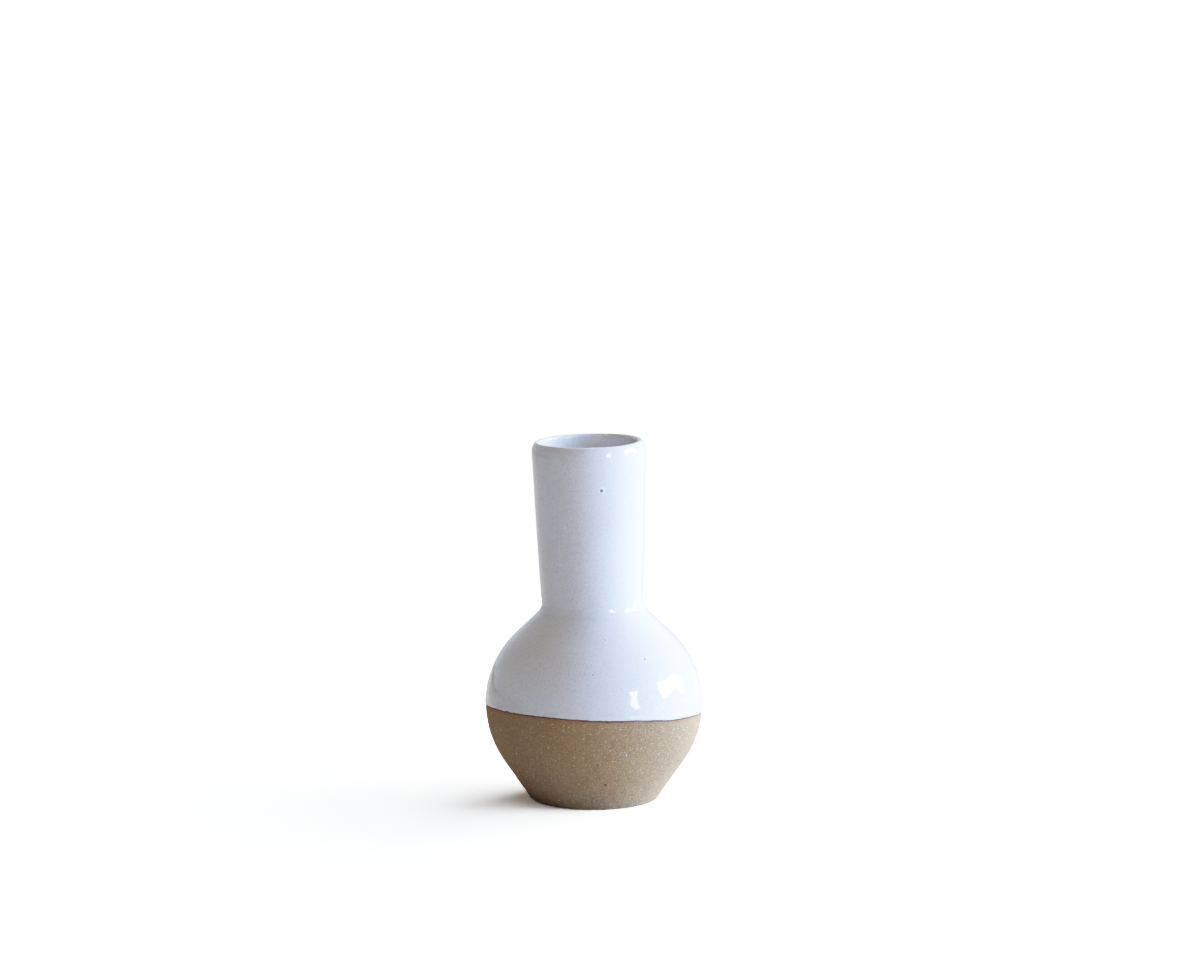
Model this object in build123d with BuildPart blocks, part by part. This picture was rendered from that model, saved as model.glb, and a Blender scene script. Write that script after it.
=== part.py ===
"""Ceramic bud vase: a thrown stoneware pot with a round belly and a tall, slightly flared
neck that leans a little. A white glaze coat covers the outside, from a tilted dip line at
the belly's widest place up and over the lip, and a second coat lines the inside. Below the
dip line the clay is bare.

Millimetres, +Z up. The origin is at the centre of the foot, on the surface it stands on.
"""

import os
from math import asin, cos, degrees, radians, sin, tan

from build123d import *

# ---- driving dimensions: the outside, measured over the glaze ------------------------
glaze = 0.35  # thickness of each coat

belly_radius = 44.0
belly_height = 38.5  # of the widest place
lower_arc = 40.0  # radius of the belly's curve below its widest place
upper_arc = 39.0  # and above it
cone_angle = 34.3  # the straight cone down to the foot, from vertical
shoulder_angle = 44.2  # the straight shoulder, from horizontal
foot_round = 1.0

neck_base_radius = 20.5
neck_mouth_radius = 23.2
neck_base_height = 77.9  # where the neck's side meets the shoulder
neck_length = 67.4
neck_lean = 1.33  # degrees, towards -X
neck_shift = -0.77  # the neck's base is a little off the pot's axis
neck_fillet = 7.0  # in the corner between shoulder and neck
neck_root = 12.0  # how far the neck's solid runs on inside the belly
lip_height = 5.0  # the lip's outer roll
lip_round = 1.0  # and its inner roll
lip_crest = 0.1  # the narrow flat between them

# ---- driving dimensions: the clay wall -----------------------------------------------
belly_wall = 4.0
neck_base_wall = 3.6
neck_mouth_wall = 2.95
floor_height = 7.5  # top of the clay floor
floor_fillet = 9.0
hollow_fillet = 8.0  # where the hollow turns up into the neck
recess_radius = 19.5  # the shallow hollow trimmed under the foot
recess_depth = 1.5

# ---- driving dimensions: where the coats end -----------------------------------------
dip_height = 37.0  # the dip line's plane, at the pot's axis
dip_fall_x = 2.27  # degrees: it falls towards +X
dip_fall_y = 4.01  # degrees: and towards +Y, so it is highest at the front left
liner_top = 6.0  # the coats meet inside the neck, this far below the rim

# ---- the neck's own frame --------------------------------------------------------------
lean = radians(neck_lean)
neck_plane = Plane(
    origin=(neck_shift, 0, neck_base_height),
    x_dir=(cos(lean), 0, sin(lean)),
    z_dir=(-sin(lean), 0, cos(lean)),
)
neck_section = Plane(neck_plane.origin, neck_plane.x_dir, -neck_plane.y_dir)
neck_axis = Axis(neck_plane.origin, neck_plane.z_dir)
meeting_plane = neck_plane.offset(neck_length - liner_top)
dip_plane = Plane(
    origin=(0, 0, dip_height),
    z_dir=(tan(radians(dip_fall_x)), tan(radians(dip_fall_y)), 1),
)


def corner_ring(part, height):
    """The edges of the ring where neck and shoulder meet, which lies near a height."""
    reach = 3.0

    def lies_near(edge):
        box = edge.bounding_box()
        return height - reach < box.min.Z and box.max.Z < height + reach

    return part.edges().filter_by(lies_near)


def shoulder_tip(radius, arc):
    """Where the belly's upper curve ends and its straight shoulder starts."""
    angle = radians(90 - shoulder_angle)
    return radius - arc + arc * cos(angle), belly_height + arc * sin(angle)


def outside(skin):
    """The pot's outside as a filled solid: the clay's own, grown by a skin thickness."""
    shrink = glaze - skin
    radius = belly_radius - shrink
    lower = lower_arc - shrink
    upper = upper_arc - shrink
    tip_x, tip_z = shoulder_tip(radius, upper)
    apex_z = tip_z + tip_x * tan(radians(shoulder_angle))
    cone_x = radius - lower + lower * cos(radians(cone_angle))
    cone_z = belly_height - lower * sin(radians(cone_angle))
    foot_x = cone_x - cone_z * tan(radians(cone_angle))

    base = neck_base_radius - shrink
    mouth = neck_mouth_radius - shrink
    slope = (mouth - base) / neck_length
    rim = neck_length - shrink
    roll_z = rim - lip_height
    roll_x = base + slope * roll_z
    crest_x = neck_mouth_radius - glaze - neck_mouth_wall + lip_round + lip_crest

    with BuildPart() as form:
        with BuildSketch(Plane.XZ):
            with BuildLine():
                Polyline((cone_x, cone_z), (foot_x, 0), (0, 0), (0, apex_z), (tip_x, tip_z))
                CenterArc((radius - lower, belly_height), lower, -cone_angle, cone_angle)
                CenterArc((radius - upper, belly_height), upper, 0, 90 - shoulder_angle)
            make_face()
        revolve(axis=Axis.Z)
        with BuildSketch(neck_section):
            with BuildLine():
                Polyline(
                    (crest_x, rim),
                    (0, rim),
                    (0, -neck_root),
                    (base - slope * neck_root, -neck_root),
                    (roll_x, roll_z),
                )
                EllipticalCenterArc(
                    (crest_x, roll_z), roll_x - crest_x, lip_height, 0, arc_size=90
                )
            make_face()
        revolve(axis=neck_axis)
        fillet(corner_ring(form.part, neck_base_height), radius=neck_fillet - skin)
    return form.part


def inside(skin):
    """The pot's hollow as a filled solid: the bare clay's own, shrunk by a skin thickness."""
    inset = glaze + belly_wall + skin
    radius = belly_radius - inset
    lower = lower_arc - inset
    upper = upper_arc - inset
    tip_x, tip_z = shoulder_tip(radius, upper)
    apex_z = tip_z + tip_x * tan(radians(shoulder_angle))
    floor_z = floor_height + skin
    floor_angle = degrees(asin((belly_height - floor_z) / lower))
    floor_x = radius - lower + lower * cos(radians(floor_angle))

    base = neck_base_radius - glaze - neck_base_wall - skin
    mouth = neck_mouth_radius - glaze - neck_mouth_wall - skin
    slope = (mouth - base) / neck_length
    rim = neck_length - glaze + skin
    turn = lip_round + skin
    turn_z = rim - turn
    turn_x = base + slope * turn_z
    above = rim + lip_height
    corner_z = neck_base_height - inset / cos(radians(shoulder_angle)) + neck_base_wall

    with BuildPart() as form:
        with BuildSketch(Plane.XZ):
            with BuildLine():
                Polyline((floor_x, floor_z), (0, floor_z), (0, apex_z), (tip_x, tip_z))
                CenterArc((radius - lower, belly_height), lower, -floor_angle, floor_angle)
                CenterArc((radius - upper, belly_height), upper, 0, 90 - shoulder_angle)
            make_face()
        revolve(axis=Axis.Z)
        fillet(form.edges().group_by(Axis.Z)[0], radius=floor_fillet - skin)
        with BuildSketch(neck_section):
            with BuildLine():
                Polyline(
                    (turn_x, turn_z),
                    (base - slope * neck_root, -neck_root),
                    (0, -neck_root),
                    (0, above),
                    (turn_x + turn, above),
                    (turn_x + turn, rim),
                )
                CenterArc((turn_x + turn, turn_z), turn, 90, 90)
            make_face()
        revolve(axis=neck_axis)
        fillet(corner_ring(form.part, corner_z), radius=hollow_fillet + skin)
    return form.part


bare_outside = outside(0)
bare_inside = inside(0)
glazed_outside = outside(glaze)
glazed_inside = inside(glaze)

# ---- the fired clay: wall, floor and foot in one --------------------------------------
with BuildPart() as stoneware_body:
    add(bare_outside)
    fillet(stoneware_body.edges().group_by(Axis.Z)[0], radius=foot_round)
    add(bare_inside, mode=Mode.SUBTRACT)
    with BuildSketch(Plane.XY):
        Circle(recess_radius)
    extrude(amount=recess_depth, mode=Mode.SUBTRACT)

# ---- the poured coat inside, up to just below the rim ---------------------------------
with BuildPart() as liner_glaze:
    add(bare_inside)
    add(glazed_inside, mode=Mode.SUBTRACT)
    split(bisect_by=meeting_plane, keep=Keep.BOTTOM)

# ---- the dipped coat outside, from the dip line over the lip to the liner -------------
with BuildPart() as outer_glaze:
    add(glazed_outside)
    add(glazed_inside, mode=Mode.SUBTRACT)
    add(stoneware_body.part, mode=Mode.SUBTRACT)
    add(liner_glaze.part, mode=Mode.SUBTRACT)
    split(bisect_by=dip_plane, keep=Keep.TOP)

os.makedirs("parts", exist_ok=True)
stoneware_body.part.label = "stoneware_body"
export_step(stoneware_body.part, "parts/stoneware_body.step")
liner_glaze.part.label = "liner_glaze"
export_step(liner_glaze.part, "parts/liner_glaze.step")
outer_glaze.part.label = "outer_glaze"
export_step(outer_glaze.part, "parts/outer_glaze.step")
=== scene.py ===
"""Looks for the ceramic bud vase: bare sandy stoneware below a tilted dip line, glossy
white glaze above it and inside. All meshes are turned from one outline, in millimetres,
then shrunk to metres. An angle round the pot is 0 at the front (-Y) and 90 at +X.
"""

from math import cos, exp, hypot, pi, radians, sin, tan

import bmesh
import bpy
import numpy as np
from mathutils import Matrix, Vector


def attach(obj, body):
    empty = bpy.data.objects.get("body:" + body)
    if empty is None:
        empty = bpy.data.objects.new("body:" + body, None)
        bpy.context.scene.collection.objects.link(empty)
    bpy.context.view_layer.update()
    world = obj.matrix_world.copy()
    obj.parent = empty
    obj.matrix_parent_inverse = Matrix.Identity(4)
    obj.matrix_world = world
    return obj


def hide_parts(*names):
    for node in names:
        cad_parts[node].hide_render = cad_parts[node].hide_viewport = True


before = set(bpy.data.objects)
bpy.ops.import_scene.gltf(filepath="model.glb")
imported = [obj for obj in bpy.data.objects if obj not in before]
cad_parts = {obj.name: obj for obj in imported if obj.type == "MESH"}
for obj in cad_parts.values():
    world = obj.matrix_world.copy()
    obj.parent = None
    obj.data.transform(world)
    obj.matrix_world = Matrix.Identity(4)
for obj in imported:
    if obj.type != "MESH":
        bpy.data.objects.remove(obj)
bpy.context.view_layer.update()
MM = 0.001

# ---- the pot's outline, as the CAD has it, over the glaze ---------------------------
COAT = 0.35
BELLY_RADIUS, BELLY_HEIGHT = 44.0, 38.5
LOWER_ARC, UPPER_ARC = 40.0, 39.0
CONE_ANGLE, SHOULDER_ANGLE = radians(34.3), radians(44.2)
NECK_BASE, NECK_MOUTH = 20.5, 23.2
NECK_HEIGHT, NECK_LENGTH = 77.9, 67.4
NECK_LEAN, NECK_SHIFT = radians(1.33), -0.77
NECK_FILLET, HOLLOW_FILLET = 7.0, 8.0
LIP_HEIGHT, LIP_ROUND = 5.0, 1.0
BELLY_WALL, NECK_BASE_WALL, NECK_MOUTH_WALL = 4.0, 3.6, 2.95
FLOOR_HEIGHT, FLOOR_FILLET = 7.5, 9.0
FOOT_ROUND, RECESS_RADIUS, RECESS_DEPTH = 1.0, 19.5, 1.5
DIP_HEIGHT, DIP_FALL_X, DIP_FALL_Y = 37.0, radians(2.27), radians(4.01)
LINER_TOP = 6.0

# ---- mesh density: columns round the pot, each a multiple of the hidden ones ----------
SANDY = 512  # bare clay
GLAZED = 512  # glazed belly
SLIM = 256  # neck, lip and lining
HIDDEN = 128  # clay under glaze, and the glaze's own back
STEP = 0.05  # spacing of the points an outline is drawn with


# ======================================================================================
# Outlines: curves of (radius, height) points
# ======================================================================================
def line(a, b):
    count = max(2, int(hypot(b[0] - a[0], b[1] - a[1]) / STEP))
    share = np.linspace(0, 1, count)[:, None]
    return np.array(a) * (1 - share) + np.array(b) * share


def arc(centre, radii, start, end):
    """An arc, or part of an ellipse with two radii, between two angles."""
    wide, tall = radii if isinstance(radii, tuple) else (radii, radii)
    count = max(3, int(abs(end - start) * max(wide, tall) / STEP))
    angle = np.linspace(start, end, count)
    return np.c_[centre[0] + wide * np.cos(angle), centre[1] + tall * np.sin(angle)]


def rounded(before, corner, after, radius):
    """The arc that rounds a corner between two straight runs."""
    before, corner, after = map(np.array, (before, corner, after))
    back = (before - corner) / np.linalg.norm(before - corner)
    on = (after - corner) / np.linalg.norm(after - corner)
    half = np.arccos(np.clip(back @ on, -1, 1)) / 2
    centre = corner + (back + on) / np.linalg.norm(back + on) * radius / sin(half)
    start, end = corner + back * radius / tan(half), corner + on * radius / tan(half)
    first = np.arctan2(*(start - centre)[::-1])
    turn = (np.arctan2(*(end - centre)[::-1]) - first + pi) % (2 * pi) - pi
    return arc(centre, radius, first, first + turn)


def outer_outline(skin):
    """Up the outside: foot edge, cone, belly, shoulder, neck and the lip's outer roll."""
    shrink = COAT - skin
    radius, lower, upper = (v - shrink for v in (BELLY_RADIUS, LOWER_ARC, UPPER_ARC))
    low, high = (radius - lower, BELLY_HEIGHT), (radius - upper, BELLY_HEIGHT)
    cone = arc(low, lower, -CONE_ANGLE, 0)
    foot = (cone[0][0] - cone[0][1] * tan(CONE_ANGLE), 0.0)
    shoulder = arc(high, upper, 0, pi / 2 - SHOULDER_ANGLE)
    base, mouth = NECK_BASE - shrink, NECK_MOUTH - shrink
    slope = (mouth - base) / NECK_LENGTH
    rim = NECK_HEIGHT + NECK_LENGTH - shrink
    roll = (base + slope * (rim - LIP_HEIGHT - NECK_HEIGHT), rim - LIP_HEIGHT)
    crest = inner_outline(skin)[0][0]
    tip = shoulder[-1]
    reach = (tip[0] - base) * tan(SHOULDER_ANGLE)
    corner = (base + slope * (tip[1] + reach - NECK_HEIGHT), tip[1] + reach)
    bend = rounded(tip, corner, roll, NECK_FILLET - skin)
    edge = rounded((0, 0), foot, cone[0], FOOT_ROUND)
    lip = arc((crest, roll[1]), (roll[0] - crest, LIP_HEIGHT), 0, pi / 2)
    return np.vstack([edge, line(edge[-1], cone[0])[1:], cone[1:], shoulder[1:],
                      line(tip, bend[0])[1:], bend[1:], line(bend[-1], roll)[1:], lip[1:]])


def inner_outline(skin):
    """Down the inside: the lip's inner roll, neck, shoulder, belly and floor."""
    inset = COAT + BELLY_WALL + skin
    radius, lower, upper = (v - inset for v in (BELLY_RADIUS, LOWER_ARC, UPPER_ARC))
    low, high = (radius - lower, BELLY_HEIGHT), (radius - upper, BELLY_HEIGHT)
    shoulder = arc(high, upper, pi / 2 - SHOULDER_ANGLE, 0)
    base = NECK_BASE - COAT - NECK_BASE_WALL - skin
    mouth = NECK_MOUTH - COAT - NECK_MOUTH_WALL - skin
    slope = (mouth - base) / NECK_LENGTH
    rim = NECK_HEIGHT + NECK_LENGTH - COAT + skin
    turn = LIP_ROUND + skin
    top = (base + slope * (rim - turn - NECK_HEIGHT), rim - turn)
    tip = shoulder[0]
    reach = (tip[0] - base) * tan(SHOULDER_ANGLE)
    corner = (base + slope * (tip[1] + reach - NECK_HEIGHT), tip[1] + reach)
    bend = rounded(top, corner, tip, HOLLOW_FILLET + skin)
    floor = FLOOR_HEIGHT + skin
    fillet = FLOOR_FILLET - skin
    deep = BELLY_HEIGHT - floor - fillet
    foot_centre = (low[0] + ((lower - fillet) ** 2 - deep ** 2) ** 0.5, floor + fillet)
    meet = np.arctan2(foot_centre[1] - low[1], foot_centre[0] - low[0])
    roll = arc((top[0] + turn, top[1]), turn, pi / 2, pi)
    bowl = arc(low, lower, 0, meet)
    puddle = arc(foot_centre, fillet, meet, -pi / 2)
    return np.vstack([roll, line(top, bend[0])[1:], bend[1:], line(bend[-1], tip)[1:],
                      shoulder[1:], bowl[1:], puddle[1:], line(puddle[-1], (0.0, floor))[1:]])


def under_outline():
    """From the middle of the recess under the foot out to the foot's rounded edge."""
    foot = outer_outline(0.0)[0]
    ease = 0.4
    wall = (RECESS_RADIUS, RECESS_DEPTH)
    up = rounded((0, RECESS_DEPTH), wall, (RECESS_RADIUS, 0), ease)
    down = rounded(wall, (RECESS_RADIUS, 0), foot, ease)
    return np.vstack([line((0.0, RECESS_DEPTH), up[0]), up[1:], line(up[-1], down[0])[1:],
                      down[1:], line(down[-1], foot)[1:]])


class Outline:
    """An outline measured by its length, so that rings can be placed along it."""

    def __init__(self, points):
        self.points = points
        self.along = np.r_[0, np.cumsum(np.linalg.norm(np.diff(points, axis=0), axis=1))]
        self.length = self.along[-1]
        direction = np.gradient(points, axis=0)
        direction /= np.linalg.norm(direction, axis=1)[:, None]
        self.normals = np.c_[direction[:, 1], -direction[:, 0]]

    def at(self, s):
        return [np.interp(s, self.along, self.points[:, k]) for k in (0, 1)]

    def normal(self, s):
        return [np.interp(s, self.along, self.normals[:, k]) for k in (0, 1)]

    def length_at(self, height):
        """The length at which a steadily rising or falling outline reaches a height."""
        way = 1 if self.points[-1, 1] > self.points[0, 1] else -1
        return np.interp(way * height, way * self.points[:, 1], self.along)


# ======================================================================================
# From the outline to the pot
# ======================================================================================
def smooth_step(value, low, high):
    share = np.clip((value - low) / (high - low), 0, 1)
    return share * share * (3 - 2 * share)


def bump_at(value, centre, width):
    return np.exp(-(((value - centre) / width) ** 2))


AXIS_TURNS = NECK_HEIGHT - 9, NECK_HEIGHT + 7  # the pot's axis becomes the neck's in between


def on_pot(radius, height, angle):
    """Places outline points round the pot. Above the shoulder the axis shifts and leans."""
    x, y = radius * np.sin(angle), -radius * np.cos(angle)
    share = smooth_step(height, *AXIS_TURNS)
    up = height - NECK_HEIGHT
    lean_x = NECK_SHIFT + x * cos(NECK_LEAN) - up * sin(NECK_LEAN)
    lean_z = NECK_HEIGHT + x * sin(NECK_LEAN) + up * cos(NECK_LEAN)
    return np.stack([x + (lean_x - x) * share, y, height + (lean_z - height) * share], -1)


def ripple(points, wavelength, seed, waves=28):
    """Smooth seamless noise of about unit size, from sine waves in all directions."""
    draw = np.random.default_rng(seed)
    heading = draw.normal(size=(waves, 3))
    heading *= 2 * pi / wavelength / np.linalg.norm(heading, axis=1)[:, None]
    heading *= draw.uniform(0.6, 1.4, (waves, 1))
    phase = draw.uniform(0, 2 * pi, waves)
    total = np.zeros(points.shape[:-1])
    for wave, start in zip(heading, phase):
        total += np.sin(points @ wave + start)
    return total * (2 / waves) ** 0.5


def dip_height(angle, radius):
    """Height of the tilted dip plane where it meets a radius."""
    x, y = radius * np.sin(angle), -radius * np.cos(angle)
    return DIP_HEIGHT - x * tan(DIP_FALL_X) - y * tan(DIP_FALL_Y)


def dip_wobble(angle):
    """How far the glaze's edge strays from the plane: slow waves and small nicks."""
    ring = np.stack([BELLY_RADIUS * np.sin(angle), BELLY_RADIUS * np.cos(angle),
                     np.zeros_like(angle)], -1)
    nicks = np.maximum(ripple(ring, 5.0, 41) - 1.5, 0)
    return 0.10 * ripple(ring, 26.0, 40) + 0.045 * ripple(ring, 7.0, 42) + 0.18 * nicks


EDGE_SEARCH = 80.0  # the glaze's edge lies within this length up from the foot
FAR_OFF = 50.0  # the distance noted for places that are nowhere near the edge


def dip_length(outline, angle):
    """Where along an outside outline the glaze's edge lies, at each angle. The tilted plane's
    height depends on the radius, so it is first taken at the belly and then at the edge."""
    rising = slice(0, np.searchsorted(outline.along, EDGE_SEARCH))
    heights, radii = outline.points[rising, 1], outline.points[rising, 0]
    level = dip_height(angle, BELLY_RADIUS)
    level = dip_height(angle, np.interp(level, heights, radii))
    return np.interp(level, heights, outline.along[rising]) + dip_wobble(angle)


CLAY_OUT, GLAZE_OUT = Outline(outer_outline(0.0)), Outline(outer_outline(COAT))
CLAY_IN, GLAZE_IN = Outline(inner_outline(0.0)), Outline(inner_outline(COAT))
CLAY_UNDER = Outline(under_outline())
MEETING = NECK_HEIGHT + NECK_LENGTH - LINER_TOP


# ======================================================================================
# Open bubbles in the glaze and grit holes in the clay, with painted shade inside them and painted
# highlights on the glaze pits' rims
# ======================================================================================
RIM_AT = 1.9  # a pit's rim is highest here, in radii of its hole
PIT_REACH = 3.2  # and its relief has died away here
SHALLOW = 0.05  # only deeper pits look dark
UNSEEN_SIDE = 60, 290  # from the right round the back to the left, in degrees
SEAM_GAP = 4  # the back's seam, where angles jump, stays free of pits by this much


class Pit:
    """A small hole with a low raised rim. A depth below zero makes a small bump."""

    def __init__(self, outline, angle, height, radius, depth, rim=0.3):
        s = outline.length_at(height)
        self.centre = on_pot(*outline.at(s), radians(angle))
        self.radius, self.depth, self.rim = radius, depth, rim

    def away(self, places):
        return np.linalg.norm(places - self.centre, axis=-1) / self.radius

    def relief(self, places):
        away = self.away(places)
        hole = np.exp(-(away ** 4))
        return self.depth * (self.rim * bump_at(away, RIM_AT, 0.6) - hole)

    # Painted shade: how strongly the near-black colour fills the hole, standing in for the shade
    # inside it
    def painted_shade(self, places):
        return np.exp(-((self.away(places) / 1.2) ** 6))

    # Painted highlight: the white ring on the pit's raised rim
    def rim_highlight(self, places):
        return bump_at(self.away(places), RIM_AT, 0.45)


def scattered_pits(outline, heights, count, seed, sizes, depth):
    """Pits at random places round the back and sides."""
    draw = np.random.default_rng(seed)
    found = []
    for _ in range(count):
        angle = draw.uniform(*UNSEEN_SIDE)
        if abs(angle - 180) <= SEAM_GAP:
            angle += 3 * SEAM_GAP
        height = draw.uniform(*heights)
        radius = draw.uniform(*sizes)
        found.append(Pit(outline, (angle + 180) % 360 - 180, height, radius, depth))
    return found


GLAZE_PITS = [
    Pit(GLAZE_OUT, 12.2, 128.1, 0.56, 0.34, 0.40),
    Pit(GLAZE_OUT, 33.8, 62.2, 0.38, 0.16),
    Pit(GLAZE_OUT, -0.6, 57.6, 0.26, 0.08),
    Pit(GLAZE_OUT, 8.6, 69.6, 0.22, 0.06),
    Pit(GLAZE_OUT, 10.7, 49.7, 0.22, 0.12),
    Pit(GLAZE_OUT, 12.4, 49.3, 0.18, 0.08),
    Pit(GLAZE_OUT, -53.2, 48.8, 0.20, -0.08),
    Pit(GLAZE_OUT, -50.9, 46.3, 0.20, 0.08),
    Pit(GLAZE_OUT, -73.7, 44.1, 0.25, 0.12),
    Pit(GLAZE_OUT, -24.6, 87.7, 0.20, 0.07),
    Pit(GLAZE_OUT, -21.7, 84.8, 0.20, 0.07),
    Pit(GLAZE_OUT, 25.3, 79.9, 0.28, -0.12),
    Pit(GLAZE_OUT, 24.3, 80.0, 0.20, 0.14),
] + scattered_pits(GLAZE_OUT, (44, 138), 16, 51, (0.18, 0.32), 0.12)

CLAY_PITS = [
    Pit(CLAY_OUT, 7.3, 12.1, 0.44, 0.50, 0.12),
    Pit(CLAY_OUT, 1.7, 21.3, 0.27, 0.30, 0.12),
    Pit(CLAY_OUT, -9.6, 13.9, 0.22, 0.20, 0.12),
] + scattered_pits(CLAY_OUT, (4, 30), 10, 52, (0.2, 0.34), 0.3)


# ======================================================================================
# Reliefs: how far each surface stands out from its outline, in millimetres
# ======================================================================================
THIN = 0.10  # the coat is this much thinner than the CAD's, which leaves room for its bead
DUG_IN = 0.06  # how deep the coat's edge reaches into the clay
CLEAR = 0.02  # and how far its back stays off the clay


def hand(places):
    """The slow unevenness that the thrower's hand left, in clay and glaze alike."""
    return 0.035 * ripple(places, 30.0, 11)


def skin_of_glaze(places):
    return hand(places) + 0.010 * ripple(places, 5.0, 12) - THIN


def coat_relief(places, s, angle):
    """Rises steeply from the clay at the dip line, to a low bead and then an even coat."""
    above = s - dip_length(GLAZE_OUT, angle)
    rise = np.sqrt(np.clip(1 - (1 - np.clip(above / 0.5, 0, 1)) ** 2, 0, 1))
    thick = COAT + skin_of_glaze(places) + 0.08 * bump_at(above, 1.0, 0.55) + DUG_IN
    pits = sum(pit.relief(places) for pit in GLAZE_PITS)
    return np.minimum(thick * rise - DUG_IN - COAT + pits, -0.005)


def lining_relief(places, s, angle):
    """Throwing rings down the neck and round the belly, and a smooth pool on the floor."""
    deep = smooth_step(s, 8, 25) * (1 - smooth_step(s, GLAZE_IN.length - 34, GLAZE_IN.length - 24))
    rings = np.sin(2 * pi * (places[..., 2] + 1.5 * np.sin(angle)) / 5.2 + angle)
    return skin_of_glaze(places) + 0.16 * deep * rings


def hidden_relief(places, s, angle):
    """The glaze's back."""
    return hand(places) + CLEAR


def edge_back_relief(places, s, angle):
    """The glaze's back outside, which turns into the clay just above the dip line."""
    above = s - dip_length(CLAY_OUT, angle)
    return hand(places) + CLEAR - (CLEAR + DUG_IN) * (1 - smooth_step(above, 0.2, 1.2))


def clay_relief(places, s, angle):
    below = dip_length(CLAY_OUT, angle) - s
    bare = smooth_step(below, -0.6, 0.4) * smooth_step(s, 0.0, 1.5)
    grain = 0.016 * ripple(places, 1.5, 21) + 0.02 * ripple(places, 4.0, 22)
    turning = 0.012 * np.sin(2 * pi * (s + 0.8 * np.sin(angle)) / 1.7)
    pits = sum(pit.relief(places) for pit in CLAY_PITS)
    return smooth_step(s, 0, 3) * hand(places) + bare * (grain + turning) + pits


def under_relief(places, s, angle):
    """Trimming rings in the recess under the foot. The foot's own ring is left true."""
    recess = 1 - smooth_step(s, RECESS_RADIUS - 3, RECESS_RADIUS - 1)
    return recess * (0.05 * np.sin(2 * pi * s / 2.3) + 0.02 * ripple(places, 2.0, 23) - 0.06)


def clay_in_relief(places, s, angle):
    return hand(places)


# ======================================================================================
# Turned meshes
# ======================================================================================
class Turning:
    """Rings of points round the pot, stitched into a closed mesh. While it is built a vertex
    holds (length along its outline, angle, sheet number) in place of x, y and z."""

    def __init__(self):
        self.bm = bmesh.new()
        self.sheets = []
        self.first = self.last = None

    def sheet(self, outline, relief):
        self.sheets.append((outline, relief))

    def points(self, lengths, angles):
        number = len(self.sheets) - 1
        return [self.bm.verts.new((s, t, number)) for s, t in zip(lengths, angles)]

    def band(self, start, end, spacing, columns, fresh=False):
        """Rings from one length to another, each a number or a function of the angle.
        The first ring is left out, as the last band ended there, unless it is fresh."""
        angles = np.linspace(-pi, pi, columns, endpoint=False)
        a, b = (np.broadcast_to(f(angles) if callable(f) else f, columns) for f in (start, end))
        rows = max(1, round(float(np.abs(b - a).mean()) / spacing))
        for share in np.linspace(0, 1, rows + 1)[0 if fresh else 1:]:
            self.add(self.points(a + (b - a) * share, angles))

    def pole(self, s):
        self.add(self.points([s], [0.0]))

    def add(self, ring):
        if self.last:
            self.stitch(self.last, ring)
        self.first = self.first or ring
        self.last = ring

    def lift(self):
        """The next ring isn't joined to the last one."""
        self.last = None

    def close(self):
        self.stitch(self.last, self.first)

    def stitch(self, low, high):
        """Faces between two rings. One may be a point, or have a multiple of the points."""
        single = 1 in (len(low), len(high))
        count = max(len(low), len(high)) if single else min(len(low), len(high))
        for j in range(count):
            sides = []
            for ring in (low, high):
                step = len(ring) // count
                sides.append([ring[(j * step + k) % len(ring)] for k in range(step + 1)])
            self.bm.faces.new(sides[0] + sides[1][::-1])

    def chart(self):
        return np.array([v.co for v in self.bm.verts])

    def places(self, chart, raised=True):
        """Where the vertices really are, with or without their relief."""
        placed = np.zeros_like(chart)
        for number, (outline, relief) in enumerate(self.sheets):
            mine = np.rint(chart[:, 2]) == number
            s, angle = chart[mine, 0], chart[mine, 1]
            radius, height = outline.at(s)
            placed[mine] = on_pot(radius, height, angle)
            if raised:
                push = relief(placed[mine], s, angle)
                out_r, out_z = outline.normal(s)
                placed[mine] = on_pot(radius + push * out_r, height + push * out_z, angle)
        return placed

    def refine(self, pits, sheet):
        """Cuts the faces round each pit finely enough for its shape."""
        chart = self.chart()
        placed = self.places(chart, raised=False)
        self.bm.verts.ensure_lookup_table()
        edges = set()
        for pit in pits:
            near = (pit.away(placed) < PIT_REACH) & (np.rint(chart[:, 2]) == sheet)
            for index in np.flatnonzero(near):
                for face in self.bm.verts[index].link_faces:
                    edges.update(face.edges)
        bmesh.ops.subdivide_edges(self.bm, edges=list(edges), cuts=4, use_grid_fill=True)

    def mesh(self, name, notes):
        """The finished mesh in metres. notes(chart, places) gives named vertex values."""
        chart = self.chart()
        placed = self.places(chart)
        mesh = bpy.data.meshes.new(name)
        self.bm.to_mesh(mesh)
        self.bm.free()
        mesh.vertices.foreach_set("co", (placed * MM).astype(np.float32).ravel())
        mesh.update()
        mesh.shade_smooth()
        mesh.set_sharp_from_angle(angle=radians(50))
        for title, values in notes(chart, placed).items():
            layer = mesh.attributes.new(title, "FLOAT", "POINT")
            layer.data.foreach_set("value", values.astype(np.float32))
        return mesh


def above_dip(outline, distance):
    return lambda angle: dip_length(outline, angle) + distance


BURIED = 1.5  # mm above the dip line where the clay's coarse hidden rings start


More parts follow.
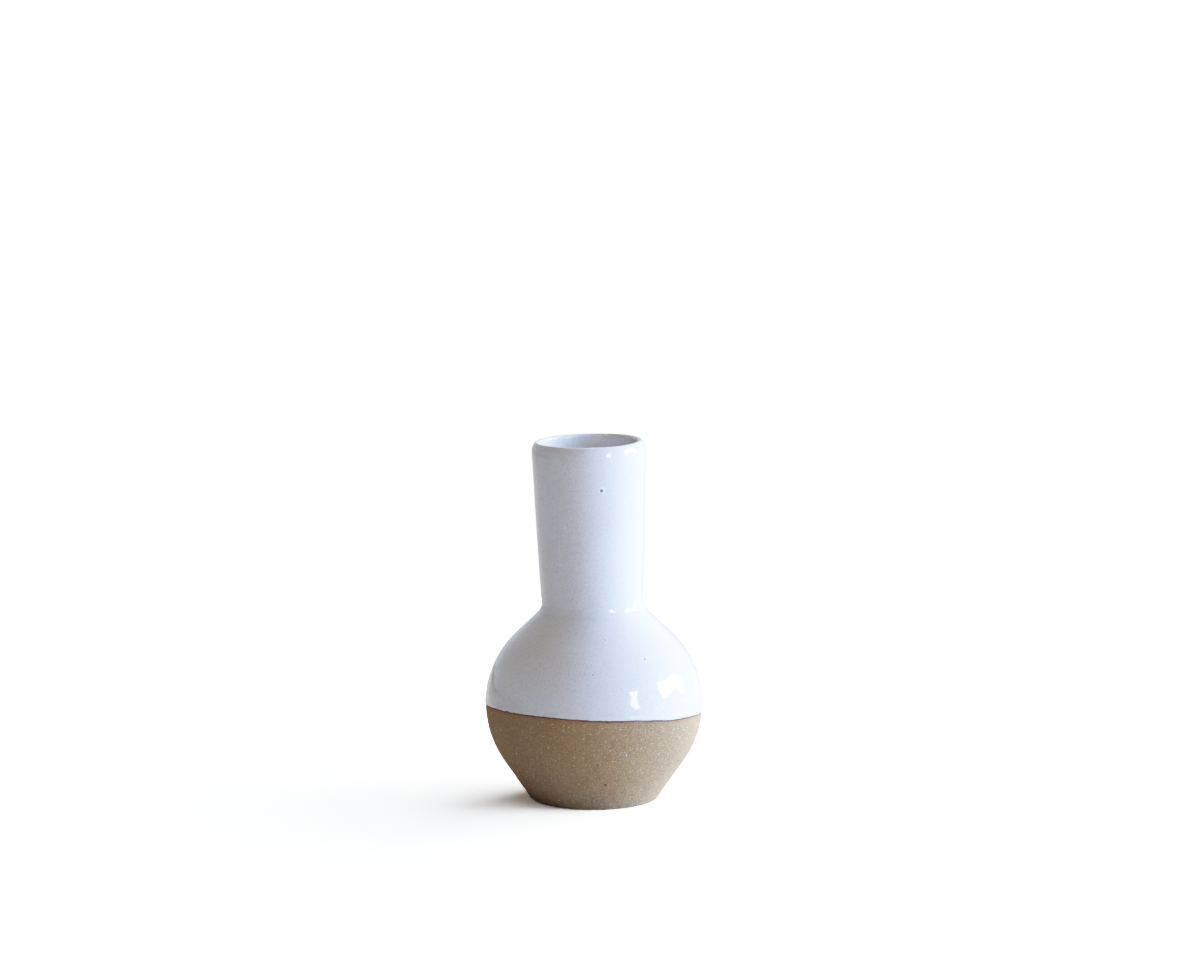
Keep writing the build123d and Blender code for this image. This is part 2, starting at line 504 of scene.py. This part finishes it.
def clay_body():
    """Foot, recess, bare belly, and the wall that the glaze hides."""
    body = Turning()
    body.sheet(CLAY_UNDER, under_relief)
    body.pole(0.0)
    rim = CLAY_UNDER.length - 3
    body.band(0.6, rim, 0.6, HIDDEN, fresh=True)
    body.band(rim, CLAY_UNDER.length, 0.5, SANDY)
    body.sheet(CLAY_OUT, clay_relief)
    body.band(0.0, 2.0, 0.15, SANDY)
    body.band(2.0, above_dip(CLAY_OUT, -1.0), 0.52, SANDY)
    body.band(above_dip(CLAY_OUT, -1.0), above_dip(CLAY_OUT, 0.4), 0.2, SANDY)
    body.band(above_dip(CLAY_OUT, 0.4), above_dip(CLAY_OUT, BURIED), 1.1, HIDDEN)
    body.band(above_dip(CLAY_OUT, BURIED), CLAY_OUT.length, 1.2, HIDDEN)
    body.sheet(CLAY_IN, clay_in_relief)
    meet = CLAY_IN.length_at(MEETING)
    body.band(0.0, meet, 0.5, HIDDEN)
    body.band(meet, CLAY_IN.length - 1, 1.2, HIDDEN)
    body.pole(CLAY_IN.length)
    body.refine(CLAY_PITS, sheet=1)

    def notes(chart, placed):
        outside = np.rint(chart[:, 2]) == 1
        below = np.where(outside, dip_length(CLAY_OUT, chart[:, 1]) - chart[:, 0], FAR_OFF)
        # painted shade inside the clay's grit holes
        dark = sum(pit.painted_shade(placed) for pit in CLAY_PITS)
        return {"below_edge": below, "pit": np.clip(dark, 0, 1)}

    return body.mesh("clay_body", notes)


def glaze_coat():
    """The dipped coat: up the outside, over the lip, and back down against the clay."""
    coat = Turning()
    coat.sheet(GLAZE_OUT, coat_relief)
    edge = [above_dip(GLAZE_OUT, d) for d in (0.0, 0.6, 2.4)]
    shoulder = GLAZE_OUT.length_at(NECK_HEIGHT + 6)
    lip = GLAZE_OUT.length_at(NECK_HEIGHT + NECK_LENGTH - LIP_HEIGHT - 1)
    coat.band(edge[0], edge[1], 0.08, GLAZED, fresh=True)
    coat.band(edge[1], edge[2], 0.2, GLAZED)
    coat.band(edge[2], shoulder, 0.8, GLAZED)
    coat.band(shoulder, lip, 0.9, SLIM)
    coat.band(lip, GLAZE_OUT.length, 0.22, SLIM)
    coat.sheet(GLAZE_IN, lining_relief)
    meet = GLAZE_IN.length_at(MEETING)
    coat.band(0.0, 4.0, 0.22, SLIM)
    coat.band(4.0, meet, 0.6, SLIM)
    coat.sheet(CLAY_IN, hidden_relief)
    coat.band(CLAY_IN.length_at(MEETING), 0.0, 0.5, HIDDEN, fresh=True)
    coat.sheet(CLAY_OUT, edge_back_relief)
    coat.band(CLAY_OUT.length, above_dip(CLAY_OUT, BURIED), 1.2, HIDDEN)
    coat.band(above_dip(CLAY_OUT, BURIED), above_dip(CLAY_OUT, 0.15), 0.4, HIDDEN)
    coat.close()
    coat.refine(GLAZE_PITS, sheet=0)

    def notes(chart, placed):
        outside = np.rint(chart[:, 2]) == 0
        above = np.where(outside, chart[:, 0] - dip_length(GLAZE_OUT, chart[:, 1]), FAR_OFF)
        open_pits = [pit for pit in GLAZE_PITS if pit.depth > SHALLOW]
        # painted shade inside the open pits, and a painted highlight on their rims
        dark = sum(pit.painted_shade(placed) for pit in open_pits)
        rim_highlight = sum(pit.rim_highlight(placed) for pit in open_pits)
        return {"above_edge": above, "pit": np.clip(dark, 0, 1), "rim_highlight": np.clip(rim_highlight, 0, 1)}

    return coat.mesh("glaze_coat", notes)


def glaze_lining():
    """The poured coat inside, from below the lip to the floor."""
    lining = Turning()
    lining.sheet(GLAZE_IN, lining_relief)
    meet = GLAZE_IN.length_at(MEETING)
    lining.band(meet, GLAZE_IN.length - 1, 0.8, SLIM, fresh=True)
    lining.pole(GLAZE_IN.length)
    lining.lift()
    lining.sheet(CLAY_IN, hidden_relief)
    lining.pole(CLAY_IN.length)
    lining.band(CLAY_IN.length - 1, CLAY_IN.length_at(MEETING), 1.2, HIDDEN, fresh=True)
    lining.close()

    def notes(chart, placed):
        none = np.zeros(len(chart))
        return {"above_edge": none + FAR_OFF, "pit": none, "rim_highlight": none}

    return lining.mesh("glaze_lining", notes)


# ======================================================================================
# Materials
# ======================================================================================
GLAZE_LIGHT, GLAZE_CLOUD = (0.84, 0.84, 0.855), (0.795, 0.80, 0.825)
GLAZE_MOTTLE, GLAZE_SPECK = (0.67, 0.675, 0.705), (0.25, 0.24, 0.25)
# The near-black colour after the burnt edge is painted shade inside the pits, and also the colour
# of the clay's near-black specks
EDGE_BURNT, PIT_SHADE_AND_SPECK = (0.22, 0.12, 0.10), (0.020, 0.016, 0.018)
# painted highlight on the raised rims of the open pits
RIM_HIGHLIGHT = (0.97, 0.97, 0.97)
CLAY_TAN, CLAY_DARK = (0.325, 0.200, 0.082), (0.285, 0.172, 0.070)
CLAY_GRAIN, CLAY_PALE = (0.39, 0.25, 0.12), (0.50, 0.37, 0.22)
GRIT_PALE, GRIT_WHITE = (0.64, 0.50, 0.33), (0.86, 0.74, 0.54)
IRON_BLUSH, IRON_LINE = (0.30, 0.13, 0.06), (0.105, 0.040, 0.036)
CLAY_SHEEN = 0.10
FLAT = (0.85, 0.85, 1.4)  # grit drawn out sideways, as the thrower's hand leaves it
SAND = [  # spacing, radius, share of the cells that hold a grain, strength and colour
    (0.85, 0.25, 0.50, 0.72, GRIT_PALE),
    (1.2, 0.28, 0.50, 0.90, GRIT_PALE),
    (1.75, 0.30, 0.42, 0.90, GRIT_WHITE),
    (4.6, 0.40, 0.45, 1.00, GRIT_WHITE),
    # near-black specks, drawn in the colour of the painted pit shade
    (3.1, 0.28, 0.40, 0.75, PIT_SHADE_AND_SPECK),
]


class Nodes:
    """Short ways to add shader nodes. A value may be a number, a colour or a socket."""

    def __init__(self, name):
        self.material = bpy.data.materials.new(name)
        self.material.use_nodes = True
        self.tree = self.material.node_tree
        self.tree.nodes.clear()
        place = self.add("ShaderNodeTexCoord").outputs["Object"]
        scale = self.add("ShaderNodeVectorMath", operation="SCALE")
        self.put(scale.inputs[0], place)
        scale.inputs["Scale"].default_value = 1 / MM
        self.mm = scale.outputs[0]

    def add(self, kind, **settings):
        node = self.tree.nodes.new(kind)
        for key, value in settings.items():
            setattr(node, key, value)
        return node

    def put(self, socket, value):
        if isinstance(value, bpy.types.NodeSocket):
            self.tree.links.new(value, socket)
        elif isinstance(value, tuple) and len(value) == 3:
            socket.default_value = (*value, 1.0)
        else:
            socket.default_value = value

    def noise(self, size, detail=2.0, roughness=0.5, stretch=None):
        """Noise with features of a size in millimetres."""
        node = self.add("ShaderNodeTexNoise")
        self.put(node.inputs["Vector"], self.stretched(stretch) if stretch else self.mm)
        node.inputs["Scale"].default_value = 1 / size
        node.inputs["Detail"].default_value = detail
        node.inputs["Roughness"].default_value = roughness
        return node.outputs["Fac"]

    def stretched(self, factors):
        node = self.add("ShaderNodeVectorMath", operation="MULTIPLY")
        self.put(node.inputs[0], self.mm)
        node.inputs[1].default_value = factors
        return node.outputs[0]

    def cells(self, size, stretch=None):
        """Distance to scattered points this far apart, in cell sizes, and a random value."""
        node = self.add("ShaderNodeTexVoronoi")
        self.put(node.inputs["Vector"], self.stretched(stretch) if stretch else self.mm)
        node.inputs["Scale"].default_value = 1 / size
        pick = self.add("ShaderNodeSeparateColor")
        self.put(pick.inputs[0], node.outputs["Color"])
        return node.outputs["Distance"], pick.outputs["Red"]

    def span(self, value, low, high, out_low=0.0, out_high=1.0):
        """Maps a value from one range to another, smoothly, and holds it there."""
        node = self.add("ShaderNodeMapRange", interpolation_type="SMOOTHSTEP")
        for name, number in zip(("Value", "From Min", "From Max", "To Min", "To Max"),
                                (value, low, high, out_low, out_high)):
            self.put(node.inputs[name], number)
        return node.outputs[0]

    def math(self, operation, a, b):
        node = self.add("ShaderNodeMath", operation=operation)
        self.put(node.inputs[0], a)
        self.put(node.inputs[1], b)
        return node.outputs[0]

    def mix(self, share, a, b):
        node = self.add("ShaderNodeMix", data_type="RGBA")
        self.put(node.inputs["Factor"], share)
        self.put(node.inputs[6], a)
        self.put(node.inputs[7], b)
        return node.outputs[2]

    def note(self, name):
        return self.add("ShaderNodeAttribute", attribute_name=name).outputs["Fac"]

    def bump(self, height, depth, before=None):
        """A bump whose height of 1 is this deep, in millimetres."""
        node = self.add("ShaderNodeBump")
        node.inputs["Strength"].default_value = 1.0
        node.inputs["Distance"].default_value = depth * MM
        self.put(node.inputs["Height"], height)
        if before:
            self.put(node.inputs["Normal"], before)
        return node.outputs[0]

    def surface(self, **inputs):
        shader = self.add("ShaderNodeBsdfPrincipled")
        for name, value in inputs.items():
            self.put(shader.inputs[name.replace("_", " ")], value)
        output = self.add("ShaderNodeOutputMaterial")
        self.put(output.inputs["Surface"], shader.outputs[0])
        return self.material


def dots(n, size, radius, share, soft=0.4, stretch=None):
    """Round specks, in a share of the cells of a size, both in millimetres."""
    distance, pick = n.cells(size, stretch=stretch)
    inside = n.span(distance, radius / size, radius * (1 - soft) / size)
    return n.math("MULTIPLY", inside, n.span(pick, share, share * 0.75))


def glaze_material():
    """Glossy white with faint clouds, grey iron specks, a thin burnt edge, painted shade in the
    open pits and a painted highlight on their rims.
    """
    n = Nodes("white_glaze")
    colour = n.mix(n.span(n.noise(24, 3), 0.35, 0.65), GLAZE_LIGHT, GLAZE_CLOUD)
    colour = n.mix(n.span(n.noise(0.75, 4, 0.7), 0.44, 0.64, 0.0, 0.70), colour, GLAZE_MOTTLE)
    colour = n.mix(n.math("MULTIPLY", dots(n, 1.5, 0.27, 0.45, 0.7), 0.34), colour, GLAZE_SPECK)
    colour = n.mix(n.math("MULTIPLY", dots(n, 2.1, 0.27, 0.40, 0.6), 0.55), colour, GLAZE_SPECK)
    # painted highlight on the open pits' rims
    colour = n.mix(n.math("MULTIPLY", n.note("rim_highlight"), 0.8), colour, RIM_HIGHLIGHT)
    # painted shade inside the open pits
    colour = n.mix(n.note("pit"), colour, PIT_SHADE_AND_SPECK)
    above = n.math("ADD", n.note("above_edge"), n.span(n.noise(1.2, 2), 0.3, 0.7, -0.08, 0.08))
    colour = n.mix(n.span(above, 0.34, 0.12), colour, EDGE_BURNT)
    rough = n.span(n.noise(3.0, 3), 0.35, 0.7, 0.04, 0.09)
    rough = n.math("ADD", rough, n.span(above, 0.6, 0.0, 0.0, 0.35))
    peel = n.bump(n.noise(2.6, 1), 0.010)
    grain = n.bump(n.noise(0.45, 2), 0.0015, peel)
    return n.surface(Base_Color=colour, Roughness=rough, Normal=grain)


def clay_material():
    """Sandy tan stoneware: pale grit, near-black specks, painted shade in the grit holes, and a
    rusty line where the glaze ends.
    """
    n = Nodes("bare_stoneware")
    colour = n.mix(n.span(n.noise(16, 3), 0.35, 0.65), CLAY_TAN, CLAY_DARK)
    colour = n.mix(n.span(n.noise(0.5, 3, 0.6), 0.40, 0.66), colour, CLAY_GRAIN)
    streaks = n.noise(1.0, 3, 0.6, (1.0, 1.0, 2.2))
    colour = n.mix(n.span(streaks, 0.52, 0.68, 0.0, 0.5), colour, CLAY_PALE)
    for spacing, radius, share, strength, grit in SAND:
        speck = n.math("MULTIPLY", dots(n, spacing, radius, share, 0.5, FLAT), strength)
        colour = n.mix(speck, colour, grit)
    # painted shade inside the grit holes
    colour = n.mix(n.note("pit"), colour, PIT_SHADE_AND_SPECK)
    below = n.math("ADD", n.note("below_edge"), n.span(n.noise(1.1, 3), 0.3, 0.7, -0.12, 0.12))
    colour = n.mix(n.span(below, 2.4, 0.2, 0.0, 0.45), colour, IRON_BLUSH)
    patchy = n.span(n.noise(14, 2), 0.38, 0.62, 0.65, 1.0)
    colour = n.mix(n.math("MULTIPLY", n.span(below, 0.54, 0.24), patchy), colour, IRON_LINE)
    rough = n.span(n.noise(0.8, 3), 0.3, 0.7, 0.62, 0.82)
    sand = n.bump(n.noise(0.55, 3, 0.65), 0.07)
    grit = n.bump(dots(n, 0.85, 0.26, 0.45, 0.9), 0.05, sand)
    return n.surface(Base_Color=colour, Roughness=rough, Normal=grit, Specular_IOR_Level=0.0,
                     Sheen_Weight=CLAY_SHEEN, Sheen_Roughness=0.8)


# ======================================================================================
# Stage: a pale floor in a white room, soft panels, and panes that only reflections show
# ======================================================================================
AIM = Vector((0.0024, 0.0, 0.1292))
EYE = Vector((0.0, -1.6707, 0.3843))
LENS, SENSOR = 126.8, 36.0
SEEN_BY = ("camera", "diffuse", "glossy", "transmission", "volume_scatter", "shadow")

BELLY = Vector((0.0, 0.0, 0.05))
ROOM_RADIUS = 5.0
ROOM_GLOW = (1.03, 1.18, 1.40)
FLOOR_SHOWN, FLOOR_GLOW, FLOOR_REACH = (2.65, 2.78, 2.92), 0.11, 0.5
GLOW_STARTS, GLOW_FULL = 0.09, FLOOR_REACH - 0.02  # distances over which the floor whitens
FLOOR_BOUNCE, FLOOR_GAP = (0.86, 0.83, 0.79), 0.0001

SHOULDER, FULL_WHITE = 0.3, 3.0  # the tone curve bends here, and shows this as white
CURVE_POINTS = (SHOULDER, 0.65, 0.8, 1.0, 1.3, 1.7, 2.2)

PANEL_DISTANCE = 2.2
PANELS = [  # name, azimuths, elevations and radiance
    ("front_right", (22.5, 67.5), (25, 60), (1.65, 1.56, 1.54)),
    ("right", (67.5, 112.5), (0.5, 25), (12.4, 20.5, 38.0)),
    ("back_right_low", (112.5, 157.5), (0.5, 25), (16.3, 16.6, 15.2)),
    ("back_right_high", (112.5, 157.5), (25, 60), (3.2, 3.0, 2.4)),
    ("back_left", (202.5, 247.5), (0.5, 25), (0.37, 0.36, 0.34)),
    ("ceiling", (-28.0, 28.0), (62, 118), (0.72, 0.50, 0.26)),
]

NEAR_PANE = [(38, 21), (43, 24), (46, 22), (51, 24), (48, 17), (47, 11), (49, 5), (44, 3),
             (40, 5), (37, 9), (40, 16)]
FAR_PANE = [(78, 23), (83, 22), (87, 23), (92, 20), (96, 22), (100, 20), (107, 19), (111, 14),
            (115, 11), (112, 9), (112, 4), (106, 4), (103, 9), (100, 13), (95, 10), (88, 10),
            (84, 7), (79, 7), (78, 17)]
SKYLIGHT = [(155, 32), (190, 32), (190, 65), (155, 65)]
DARK_SCREEN = [(146, -7), (178, -7), (178, 60), (146, 60)]
WINDOW_DISTANCE, SCREEN_DISTANCE = 1.8, 0.3
PANES = [  # name, distance, corners as directions from the belly, and radiance
    ("near_pane", WINDOW_DISTANCE, NEAR_PANE, (27.0, 31.0, 36.0)),
    ("far_pane", WINDOW_DISTANCE, FAR_PANE, (50.0, 50.0, 50.0)),
    ("skylight", WINDOW_DISTANCE, SKYLIGHT, (4.5, 4.5, 4.7)),
    ("dark_screen", SCREEN_DISTANCE, DARK_SCREEN, (0.03, 0.04, 0.08)),
]


def towards(azimuth, elevation):
    """The direction at an azimuth from the front and an elevation, in degrees."""
    a, e = radians(azimuth), radians(elevation)
    return Vector((sin(a) * cos(e), -cos(a) * cos(e), sin(e)))


def add_object(name, data):
    obj = bpy.data.objects.new(name, data)
    bpy.context.scene.collection.objects.link(obj)
    return obj


def glowing(name, radiance):
    n = Nodes(name)
    glow = n.add("ShaderNodeEmission")
    n.put(glow.inputs["Color"], radiance)
    n.put(n.add("ShaderNodeOutputMaterial").inputs["Surface"], glow.outputs[0])
    return n.material


def matt(name, reflectance):
    n = Nodes(name)
    diffuse = n.add("ShaderNodeBsdfDiffuse")
    n.put(diffuse.inputs["Color"], reflectance)
    n.put(n.add("ShaderNodeOutputMaterial").inputs["Surface"], diffuse.outputs[0])
    return n.material


def whitening(name, reflectance, glow):
    """Diffuse with a little glow at the vase, which grows to full white far off."""
    n = Nodes(name)
    diffuse, lit = n.add("ShaderNodeBsdfDiffuse"), n.add("ShaderNodeEmission")
    n.put(diffuse.inputs["Color"], reflectance)
    n.put(lit.inputs["Color"], (1.0, 1.0, 1.0))
    away = n.add("ShaderNodeVectorMath", operation="LENGTH")
    n.put(away.inputs[0], n.mm)
    far = n.span(away.outputs["Value"], GLOW_STARTS / MM, GLOW_FULL / MM, glow, FULL_WHITE)
    n.put(lit.inputs["Strength"], far)
    both = n.add("ShaderNodeAddShader")
    n.put(both.inputs[0], diffuse.outputs[0])
    n.put(both.inputs[1], lit.outputs[0])
    n.put(n.add("ShaderNodeOutputMaterial").inputs["Surface"], both.outputs[0])
    return n.material


def stage_piece(name, bm, material, *rays):
    """A piece of the stage that only some kinds of ray can see."""
    mesh = bpy.data.meshes.new(name)
    bm.to_mesh(mesh)
    bm.free()
    mesh.materials.append(material)
    piece = add_object(name, mesh)
    for ray in SEEN_BY:
        setattr(piece, "visible_" + ray, ray in rays)
    return piece


def make_camera():
    camera = add_object("camera", bpy.data.cameras.new("camera"))
    camera.data.lens, camera.data.sensor_width = LENS, SENSOR
    camera.location = EYE
    camera.rotation_euler = (AIM - EYE).to_track_quat("-Z", "Y").to_euler()
    bpy.context.scene.camera = camera


def soft_panel(name, azimuths, elevations, radiance, pieces):
    """A large lit panel that fills a range of directions. It lights only the given pieces,
    and neither the camera nor a reflection shows it."""
    spread = [2 * PANEL_DISTANCE * tan(radians(b - a) / 2) for a, b in (azimuths, elevations)]
    strongest = max(radiance)
    light = bpy.data.lights.new(name, "AREA")
    light.shape, light.size, light.size_y = "RECTANGLE", *spread
    light.energy = pi * spread[0] * spread[1] * strongest
    light.color = [channel / strongest for channel in radiance]
    lamp = add_object(name, light)
    way = towards(sum(azimuths) / 2, sum(elevations) / 2)
    lamp.location = way * PANEL_DISTANCE
    lamp.rotation_euler = way.to_track_quat("Z", "Y").to_euler()
    lamp.visible_camera = lamp.visible_glossy = False
    lit = bpy.data.collections.new(name)
    for piece in pieces:
        lit.objects.link(piece)
    lamp.light_linking.receiver_collection = lit


def reflected_pane(name, distance, outline, radiance):
    """A flat pane, bright or dark, that only reflections show."""
    corners = [towards(*corner) for corner in outline]
    facing = sum(corners, Vector()).normalized()
    bm = bmesh.new()
    bm.faces.new([bm.verts.new(BELLY + c * distance / c.dot(facing)) for c in corners])
    stage_piece(name, bm, glowing(name, radiance), "glossy")


def floor_disc(name, radius, height, material, *rays):
    bm = bmesh.new()
    bmesh.ops.create_circle(bm, cap_ends=True, segments=96, radius=radius)
    disc = stage_piece(name, bm, material, *rays)
    disc.location.z = height
    return disc


def film_curve():
    """Passes darker tones unchanged and eases bright ones towards white, as film does."""
    view = bpy.context.scene.view_settings
    view.view_transform = "Standard"
    view.use_curve_mapping = True
    curve = view.curve_mapping.curves[3]
    curve.points[0].handle_type = "VECTOR"
    curve.points[1].location = (1.0, 1.0)
    rest = 1 - SHOULDER
    for bright in CURVE_POINTS:
        eased = SHOULDER + rest * (1 - exp(-(bright - SHOULDER) / rest))
        point = curve.points.new(bright / FULL_WHITE, eased)
        point.handle_type = "VECTOR" if bright == SHOULDER else "AUTO"
    view.curve_mapping.white_level = (FULL_WHITE,) * 3
    view.curve_mapping.update()


def make_stage(vase):
    """The room round the vase. The camera sees one floor, and light bounces off another."""
    world = bpy.context.scene.world = bpy.data.worlds.new("room")
    world.use_nodes = True
    world.node_tree.nodes["Background"].inputs["Color"].default_value = (*ROOM_GLOW, 1)
    world.cycles_visibility.diffuse = False

    bm = bmesh.new()
    bmesh.ops.create_uvsphere(bm, u_segments=48, v_segments=24, radius=ROOM_RADIUS)
    stage_piece("backdrop", bm, glowing("backdrop", (FULL_WHITE,) * 3), "camera")
    white = whitening("floor_shown", FLOOR_SHOWN, FLOOR_GLOW)
    shown = floor_disc("floor_shown", FLOOR_REACH, 0.0, white, "camera")
    pale = matt("floor_bounce", FLOOR_BOUNCE)
    wide = ROOM_RADIUS - 0.1
    bounce = floor_disc("floor_bounce", wide, -FLOOR_GAP, pale, "diffuse", "glossy", "shadow")

    film_curve()
    for name, azimuths, elevations, radiance in PANELS:
        soft_panel(name, azimuths, elevations, radiance, [*vase, bounce])
        grey = (sum(radiance) / 3,) * 3
        soft_panel(name + "_plain", azimuths, elevations, grey, [shown])
    for pane in PANES:
        reflected_pane(*pane)


# ======================================================================================
# The vase
# ======================================================================================
def make_piece(mesh, material, node):
    mesh.materials.append(material)
    piece = add_object(mesh.name, mesh)
    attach(piece, "root")
    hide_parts(node)
    return piece


glaze = glaze_material()
make_stage([
    make_piece(clay_body(), clay_material(), "stoneware_body"),
    make_piece(glaze_coat(), glaze, "outer_glaze"),
    make_piece(glaze_lining(), glaze, "liner_glaze"),
])
make_camera()
